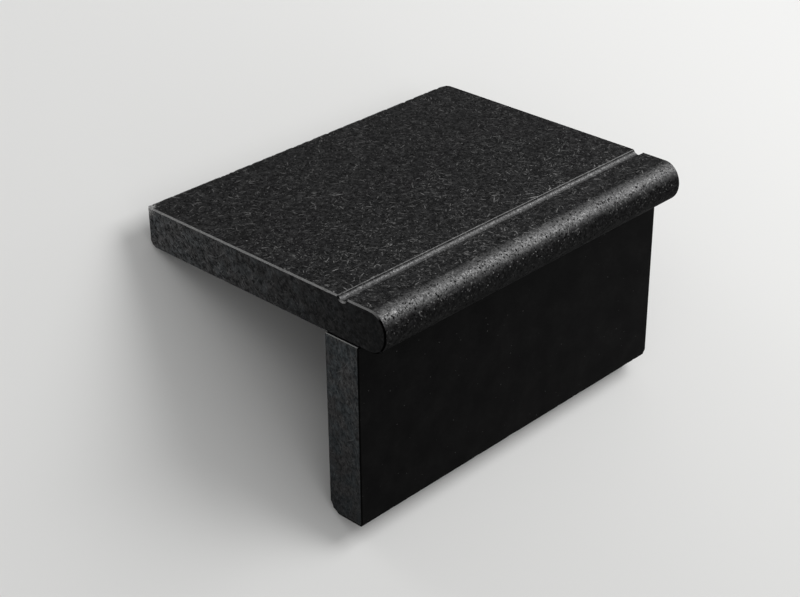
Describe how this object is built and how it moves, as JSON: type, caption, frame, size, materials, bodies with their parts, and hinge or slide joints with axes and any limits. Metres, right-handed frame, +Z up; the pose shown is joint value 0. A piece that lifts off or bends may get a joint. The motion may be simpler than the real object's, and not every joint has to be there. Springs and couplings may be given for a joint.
{
  "type": "granite step",
  "caption": "Dark granite stair step: a bullnosed tread slab with a cove groove behind the nose, on a riser slab set back under it.",
  "frame": {"origin": "on the floor, under the middle of the part's bounding box", "axes": "+X along the nosing, +Y from the nosing's side to the back, +Z up from the floor. Unheld, the step falls back 37.9 degrees and rests on two edges, the riser's back foot edge and the tread's lower back edge, and it is stored so: turned by +37.9 degrees about +X it stands as it is laid, with the tread level"},
  "size_m": [0.305, 0.2606, 0.1563],
  "materials": {
    "tread_granite": "dark granite, brushed top and satin nose, sawn ends and back",
    "riser_granite": "dark granite, honed face, sawn ends, foot and back"
  },
  "bodies": {
    "root": {"tread": "tread_granite", "riser": "riser_granite"}
  },
  "joints": []
}
